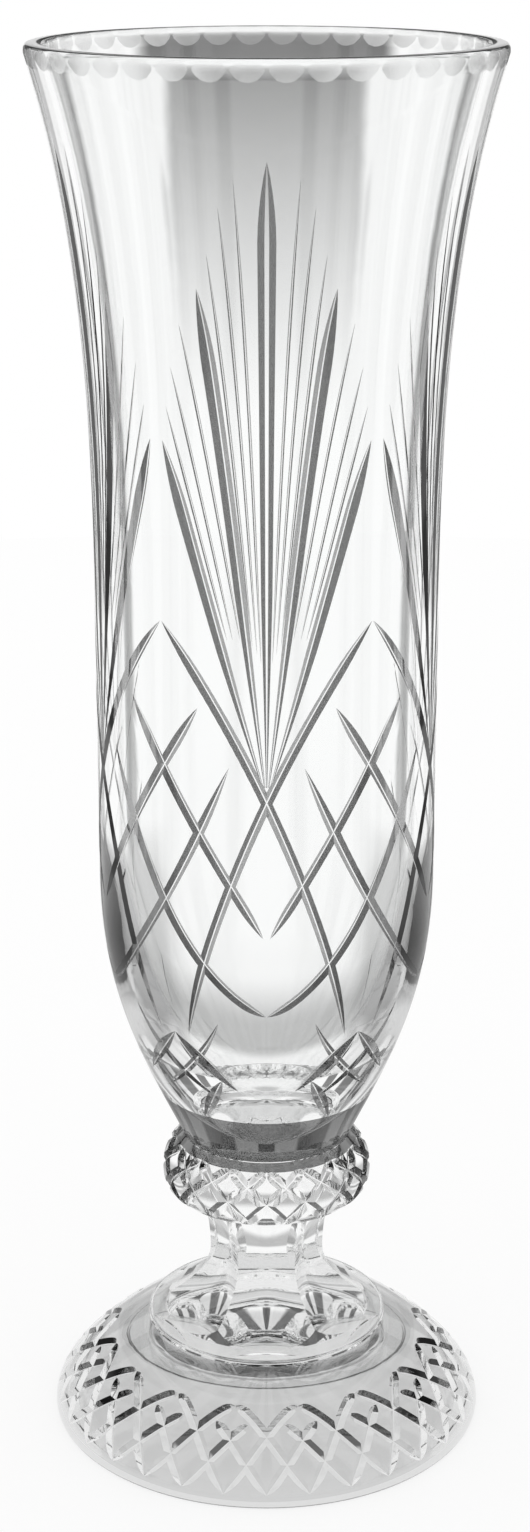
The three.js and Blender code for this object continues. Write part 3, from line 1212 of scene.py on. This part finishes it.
@dataclass
class Knop:
    """Round knop between stem and bowl, cut all over with a net of diamonds.

    Heights are counted from its lower seat, but those of the stroke from the table.
    """

    base: float = 61.5
    radius: float = 27.2
    height: float = 17.8
    girth_height: float = 7.9
    under_handles: tuple[Point, Point] = ((25.5, 0.3), (27.2, 3.0))
    over_handles: tuple[Point, Point] = ((27.2, 11.65), (25.4, 13.938))
    ring_start: Point = (23.572, 15.902)
    ring_handles: tuple[Point, Point] = ((22.963, 16.556), (22.35, 17.175))
    lower_seat: float = 17.4
    upper_seat: float = 21.8
    facets: int = 192
    repeats: int = 16
    cut_widths: tuple[Point, ...] = ((0.0, 0.0), (0.14, 3.4), (0.85, 3.4), (1.0, 0.0))
    cut_slope: float = 34.0

    def outline(self) -> Outline:
        """The half section of the knop.

        Returns:
            The outline, from the lower seat round the girth to the upper one.
        """
        runs = [
            Run((self.lower_seat, 0.0), surface=Surface.SEAT),
            Run((self.radius, self.girth_height), self.under_handles, 24, outer=True),
            Run(self.ring_start, self.over_handles, 18, outer=True),
            Run((self.upper_seat, self.height), self.ring_handles, 6, Surface.RING, True),
            Run((0.0, self.height), surface=Surface.SEAT),
        ]
        return Outline((0.0, 0.0), runs, self.base)

    def strokes(self) -> list[list[Stroke]]:
        """The net's strokes, in sets that keep clear of each other.

        Returns:
            One stroke from top to bottom, and its mirror image.
        """
        spacing = FULL_TURN / self.repeats
        pull, end = (0.8 * spacing, 72.5), (1.6 * spacing, 62.9)
        stroke = Stroke((0.0, 77.6), pull, end, self.cut_widths, slope=self.cut_slope, stations=24)
        return [[stroke], [stroke.mirrored()]]

    def build(self, glass: Finishes) -> None:
        """Turns, cuts and dresses the knop.

        Args:
            glass: Its finishes, in the order of Surface.
        """
        outline = self.outline()
        knop = Bench.turn("knop_glass_piece", outline, self.facets, glass)
        Wheel(glass).grind(knop, outline, self.strokes(), self.repeats)
        Bench.polish(knop, outline, Shade(inward=1.0, outward=1.0))
        Bench.finish(knop, "knop", "knop_glass")


@dataclass
class Bowl:
    """Deep bowl: a thick base, a straight body with five panels of cuts and a scalloped rim.

    Heights are counted from the bowl's foot, but those of the strokes from the table. The lip's
    handles reach lip_square of the way to a square corner.
    """

    base: float = 79.5
    foot_radius: float = 21.8
    ring_top: Point = (28.478, 13.859)
    ring_handles: tuple[Point, Point] = ((23.85, 4.5), (26.163, 9.031))
    cone_handle: Point = (35.425, 28.344)
    radius: float = 42.4
    height: float = 276.5
    turn_height: float = 72.5
    turn_handle: float = 45.5
    flare_start: float = 150.0
    flare_handle: float = 200.0
    rim_radius: float = 56.6
    rim_handle: Point = (10.6, 36.5)
    wall: float = 5.2
    rim_wall: float = 4.6
    lip_square: float = 0.9
    floor: float = 4.6
    hollow_turn: float = 86.5
    hollow_tip: float = 8.0
    hollow_shoulder: float = 56.0
    facets: int = 180
    panels: int = 5
    scallops: int = 42
    scallop_radius: float = 4.75
    scallop_grind: float = 14.0
    scallop_drop: float = 0.6
    scallop_rounds: int = 3
    # Painted shade on the cuts: every flank darkened, those leaning towards the panel's middle most.
    shade: Shade = Shade(inward=0.17, outward=0.38, panels=5)

    def outline(self) -> Outline:
        """The half section of the bowl.

        Returns:
            The outline, up the outside, over the rim and down the inside.
        """
        half = self.rim_wall / 2
        lip = self.height - half
        inner = self.radius - self.wall
        rim_inner = self.rim_radius - self.rim_wall
        top_middle = self.rim_radius - half
        square = self.lip_square * half
        inset, drop = self.rim_handle
        flare_top = self.height - drop
        cone = (self.cone_handle, (self.radius, self.turn_handle))
        flare = ((self.radius, self.flare_handle), (self.rim_radius - inset, flare_top))
        lip_out = ((self.rim_radius, lip + square), (top_middle + square, self.height))
        lip_in = ((top_middle - square, self.height), (rim_inner, lip + square))
        flare_in = ((rim_inner - inset, flare_top), (inner, self.flare_handle))
        shoulder = self.hollow_turn - self.hollow_shoulder
        return Outline(
            (0.0, 0.0),
            [
                Run((self.foot_radius, 0.0), surface=Surface.SEAT),
                Run(self.ring_top, self.ring_handles, 12, Surface.RING, True),
                Run((self.radius, self.turn_height), cone, 32, outer=True),
                Run((self.radius, self.flare_start), steps=12, outer=True),
                Run((self.rim_radius, lip), flare, 48, outer=True),
                Run((top_middle, self.height), lip_out, 8),
                Run((rim_inner, lip), lip_in, 8),
                Run((inner, self.flare_start), flare_in, 48),
                Run((inner, self.hollow_turn), steps=10),
                Run((0.0, self.floor), ((inner, shoulder), (self.hollow_tip, self.floor)), 64),
            ],
            self.base,
        )

    @staticmethod
    def straight(start: Point, end: Point, widths: tuple[Point, ...]) -> Stroke:
        """A stroke without a bend, from tip to tip."""
        middle = ((start[0] + end[0]) / 2, (start[1] + end[1]) / 2)
        return Stroke(start, middle, end, widths, stations=40)

    @staticmethod
    def pairs(strokes: list[Stroke]) -> list[list[Stroke]]:
        """Each stroke and its mirror image, every one in a set of its own."""
        return [[side] for stroke in strokes for side in (stroke, stroke.mirrored())]

    def fan(self) -> list[list[Stroke]]:
        """The upright fan of one panel.

        Returns:
            Five broad strokes, and two sets of six fine ones that keep clear of each other.
        """
        apex = 187.0
        middle = self.straight((0.0, 334.0), (0.0, apex), ((0.0, 0.0), (0.13, 4.4), (0.69, 2.7), (1.0, 0.3)))
        inner = self.straight((20.0, 305.4), (0.6, apex), ((0.0, 0.0), (0.16, 3.6), (0.6, 2.8), (1.0, 0.3)))
        outer = self.straight((33.8, 269.5), (1.2, apex), ((0.0, 0.0), (0.2, 3.4), (0.6, 2.6), (1.0, 0.3)))
        fine_widths = ((0.0, 0.0), (0.3, 0.8), (0.65, 0.7), (1.0, 0.0))
        fine_tips = (
            ((8.6, 331.6), (1.7, 216.0)),
            ((12.9, 325.1), (2.9, 218.0)),
            ((16.7, 314.3), (4.3, 220.0)),
            ((26.2, 297.8), (8.2, 222.0)),
            ((29.8, 287.4), (10.5, 222.0)),
            ((32.1, 277.9), (12.3, 222.0)),
        )
        odd: list[Stroke] = []
        even: list[Stroke] = []
        for place, (start, end) in enumerate(fine_tips):
            stroke = self.straight(start, end, fine_widths)
            (odd if place % 2 else even).extend([stroke, stroke.mirrored()])
        return [[replace(middle, flat=1.1)], *self.pairs([inner, outer]), odd, even]

    def lattice(self) -> list[list[Stroke]]:
        """The crossing strokes under the fan of one panel.

        Returns:
            Three bent strokes and their mirror images, every one in a set of its own.
        """
        widths = ((0.0, 0.0), (0.18, 2.7), (0.85, 2.4), (1.0, 0.0))
        bends = (
            ((-36.0, 226.0), (3.0, 193.0), (30.0, 119.5)),
            ((-49.5, 206.0), (-25.0, 177.5), (-1.0, 148.5)),
            ((-60.0, 192.0), (-28.0, 136.0), (0.0, 127.3)),
        )
        return self.pairs([Stroke(*bend, widths, stations=36) for bend in bends])

    def base_cuts(self) -> list[list[Stroke]]:
        """The short strokes near the foot of one panel.

        Returns:
            Two crossing strokes with their mirror images, and a set of two that keep clear of each other.
        """
        swell = ((0.0, 0.0), (0.4, 3.4), (1.0, 0.0))
        thin = Stroke((-54.6, 124.8), (-46.0, 110.0), (-19.0, 100.0), ((0.0, 0.0), (0.5, 2.2), (1.0, 0.0)))
        wide = Stroke((-36.0, 119.8), (-47.5, 111.4), (-60.0, 104.0), swell)
        low = Stroke((-18.6, 107.0), (-26.0, 99.4), (-33.0, 93.0), swell)
        return [*self.pairs([thin, wide]), [low, low.mirrored()]]

    def scallop(self, bowl: Piece, glass: Finishes) -> None:
        """Grinds the ring of round scallops into the outside of the rim.

        Args:
            bowl: The bowl.
            glass: Its finishes, in the order of Surface.
        """
        inset, drop = self.rim_handle
        lean = math.atan2(inset, drop - self.rim_wall / 2)
        away = math.sqrt(self.scallop_grind**2 - self.scallop_radius**2)
        above_lip = self.rim_wall / 2 - self.scallop_drop
        reach = self.rim_radius + above_lip * math.tan(lean) + away * math.cos(lean)
        height = self.base + self.height - self.scallop_drop - away * math.sin(lean)
        for place in range(self.scallop_rounds):
            turn = (place + 0.5) * 2 * math.pi / self.scallops
            at = (reach * math.sin(turn) * MM, -reach * math.cos(turn) * MM, height * MM)
            Bench.clear()
            bpy.ops.mesh.primitive_uv_sphere_add(
                segments=56, ring_count=28, radius=self.scallop_grind * MM, location=at
            )
            ball = bpy.context.object
            Bench.dress(ball, glass)
            bpy.ops.object.transform_apply(location=True, rotation=False, scale=False)
            Bench.paint(ball, Surface.GROUND)
            ring = Bench.copies_round(ball, self.scallops // self.scallop_rounds)
            Bench.combine(bowl, ring, Joining.CUT_AWAY)

    def build(self, glass: Finishes) -> None:
        """Turns, cuts and dresses the bowl.

        Args:
            glass: Its finishes, in the order of Surface.
        """
        outline = self.outline()
        bowl = Bench.turn("bowl_glass_piece", outline, self.facets, glass)
        self.scallop(bowl, glass)
        strokes = self.fan() + self.lattice() + self.base_cuts()
        Wheel(glass).grind(bowl, outline, strokes, self.panels)
        Bench.polish(bowl, outline, self.shade)
        Bench.finish(bowl, "bowl", "bowl_glass")


@dataclass
class Studio:
    """Pale floor, soft light and the camera.

    Light walls stand round the vase with grey gaps between them, and dark cards hang on their middles.
    Each Ramp says where a change starts and ends, and the levels before and after it. Those of the room
    are in degrees, of height or away from the nearest gap, and those of the floor in metres.

    Attributes:
        camera_place: Where the camera stands, in metres.
        camera_tilt: How far it looks down.
        lens: Its focal length.
        floor_radius: Radius of the round floor, in metres.
        bays: How many light walls there are.
        behind: Where the plain wall behind the camera, without gaps and cards, gives way, by its Y.
        gap_foot: How the gaps darken upwards near the floor.
        gap_rise: How they darken further up.
        wall_rise: How the walls darken upwards.
        wall_edge: Where a gap ends and a wall starts.
        gap_taper: How much narrower the gaps are higher up.
        card_edge: Where a card starts.
        card_taper: How much narrower the cards are near the floor.
        card_depth: How much light a card takes.
        floor_far: Where the cards start to be seen on the floor.
        floor_card_edge: Where a card starts there, in degrees.
        floor_strip: The soft strips at the vase's left and right.
        shadow_ring_inner: Where the painted shadow ring round the vase starts, seen only through the glass.
        shadow_ring_outer: Where it ends.
        shadow_ring_depth: How much light it takes.
        floor_white: How much of the floor is plain white where it is seen; the rest keeps the shadow.
    """

    camera_place: tuple[float, float, float] = (-0.0004, -0.6875, 0.4024)
    camera_tilt: float = 18.024
    lens: float = 67.55
    floor_radius: float = 1.0
    bays: int = 8
    behind: Ramp = (-0.9, -0.6)
    gap_foot: Ramp = (-11.4, -4.2, 1.0, 0.2)
    gap_rise: Ramp = (-4.2, 12.0, 1.0, 0.5)
    wall_rise: Ramp = (4.0, 24.0, 1.0, 0.7)
    wall_edge: Ramp = (4.3, 5.1)
    gap_taper: Ramp = (-9.0, -4.0, 0.0, 1.0)
    card_edge: Ramp = (13.0, 15.5)
    card_taper: Ramp = (-12.0, -6.0, -4.5, 0.0)
    card_depth: float = 0.82
    floor_far: Ramp = (0.3, 0.45)
    floor_card_edge: Ramp = (17.5, 20.0)
    floor_strip: Ramp = (0.065, 0.095, 0.0, 0.6)
    shadow_ring_inner: Ramp = (0.1, 0.12)
    shadow_ring_outer: Ramp = (0.15, 0.215, 1.0, 0.0)
    shadow_ring_depth: float = 0.6
    floor_white: float = 0.8

    def camera(self) -> None:
        """Sets up the camera at the photograph's angle."""
        view = bpy.data.cameras.new("camera")
        view.lens = self.lens
        view.sensor_width = 36.0
        holder = bpy.data.objects.new("camera", view)
        bpy.context.scene.collection.objects.link(holder)
        holder.location = self.camera_place
        holder.rotation_euler = (math.radians(90.0 - self.camera_tilt), 0.0, 0.0)
        bpy.context.scene.camera = holder

    def gap_distance(self, nodes: Nodes, place: Wire) -> Wire:
        """Distance in degrees from the nearest gap between two light walls.

        Args:
            nodes: The nodes of the finish.
            place: The direction or place that is looked at.

        Returns:
            From 0 in a gap to half the spacing in the middle of a wall.
        """
        x, y, _ = nodes.parts(place)
        angle = nodes.lay("ShaderNodeMath", {0: x, 1: y}, operation="ARCTAN2") * (180 / math.pi)
        half = FULL_TURN / self.bays / 2
        return nodes.lay("ShaderNodeMath", {0: angle, 1: half}, operation="PINGPONG")

    def world(self) -> None:
        """The room, which is white where the camera looks straight at it."""
        world = bpy.data.worlds.new("studio")
        bpy.context.scene.world = world
        world.use_nodes = True
        world.node_tree.nodes.clear()
        nodes = Nodes(world.node_tree)
        way = nodes.lay("ShaderNodeTexCoord", out="Generated")
        _, away, up = nodes.parts(way)
        back = nodes.ease(away, *self.behind)
        height = nodes.lay("ShaderNodeMath", {0: up}, operation="ARCSINE") * (180 / math.pi)
        gap = self.gap_distance(nodes, way)
        gap_level = nodes.ease(height, *self.gap_foot, even=True) * nodes.ease(height, *self.gap_rise)
        wall = nodes.ease(height, *self.wall_rise)
        mask = nodes.ease(gap + nodes.ease(height, *self.gap_taper), *self.wall_edge).most(1.0 - back)
        card = nodes.ease(gap + nodes.ease(height, *self.card_taper), *self.card_edge) * back
        level = (gap_level * (1 - mask) + wall * mask) * (1 - card * self.card_depth)
        plain = nodes.ray("Camera").most(nodes.ray("Diffuse"))
        strength = level * (1 - plain) + plain
        light = nodes.lay("ShaderNodeBackground", {"Color": (1, 1, 1, 1), "Strength": strength})
        nodes.lay("ShaderNodeOutputWorld", {"Surface": light})

    def floor(self) -> None:
        """A round pale floor, white to the camera, that keeps the vase's shadow and shows a painted shadow
        ring round it through the glass.
        """
        Bench.clear()
        bpy.ops.mesh.primitive_circle_add(vertices=128, radius=self.floor_radius, fill_type="NGON")
        floor = bpy.context.object
        floor.name = "studio_floor"
        material, nodes = new_material("pale_floor")
        place = nodes.lay("ShaderNodeTexCoord", out="Object")
        gap = self.gap_distance(nodes, place)
        distance = nodes.lay("ShaderNodeVectorMath", {0: place}, out="Value", operation="LENGTH")
        sideways = nodes.lay("ShaderNodeMath", {0: nodes.parts(place)[0]}, operation="ABSOLUTE")
        far = nodes.ease(distance, *self.floor_far)
        strips = nodes.ease(sideways, *self.floor_strip) * (1 - far)
        card = nodes.ease(gap, *self.floor_card_edge) * far + strips
        # Painted shadow: a grey ring on the floor round the vase, seen only through the glass.
        painted_shadow_ring = nodes.ease(distance, *self.shadow_ring_inner) * nodes.ease(distance, *self.shadow_ring_outer)
        shade = (1 - card * self.card_depth) * (1 - painted_shadow_ring * self.shadow_ring_depth)
        camera = nodes.ray("Camera")
        through = nodes.ray("Transmission").most(nodes.ray("Glossy")) * (1 - camera)
        level = shade * through + (1 - through)
        white = nodes.lay("ShaderNodeEmission", {"Color": (1, 1, 1, 1), "Strength": level})
        paper = nodes.lay("ShaderNodeBsdfDiffuse", {"Color": (0.99, 0.99, 0.99, 1.0)})
        share = camera.most(through) * self.floor_white
        mixed = nodes.lay("ShaderNodeMixShader", {0: share, 1: paper, 2: white})
        nodes.lay("ShaderNodeOutputMaterial", {"Surface": mixed})
        floor.data.materials.append(material)

    def build(self) -> None:
        """Sets up the whole studio."""
        scene = bpy.context.scene
        scene.view_settings.view_transform = "Standard"
        scene.cycles.max_bounces = 32
        scene.cycles.transmission_bounces = 28
        scene.cycles.glossy_bounces = 12
        scene.cycles.transparent_max_bounces = 48
        self.camera()
        self.world()
        self.floor()


def main() -> None:
    """Builds the vase and its studio in order."""
    logging.basicConfig(level=logging.INFO, format="%(message)s")
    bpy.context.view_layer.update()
    body = Crystal("polished_crystal").made()
    # Painted shade: a darker copy of the clear glass for the foot, standing in for the shadowed floor seen
    # through it.
    painted_foot_glass = Crystal("foot_painted_shade_crystal", tint=(0.72, 0.723, 0.722)).made()
    cut = CutCrystal("cut_crystal", healed=0.75).made()
    facet = CutCrystal("facet_crystal", healed=0.2).made()
    net = CutCrystal("net_crystal").made()
    ground = CutCrystal("ground_crystal", haze=0.25, healed=0.88).made()
    # Painted shade: the ring bands at the bowl's base and the knop's top are darkened where shadow gathers.
    ring = Crystal("ring_painted_shade_crystal", painted_shade=0.8).made()
    seam = Seam("bonded_face").made()
    film = Seam("adhesive_film", cover=0.01).made()
    Foot().build([painted_foot_glass, facet, seam, ground, ring])
    Stem().build([body, cut, seam, ground, ring])
    Knop().build([body, net, seam, ground, ring])
    Bowl().build([body, cut, seam, ground, ring])
    for name in ("foot_bond", "stem_bond", "knop_bond"):
        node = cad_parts[name]
        node.data.materials.clear()
        node.data.materials.append(film)
        log.info("%s: adhesive", name)
    Studio().build()


if __name__ == "__main__":
    main()
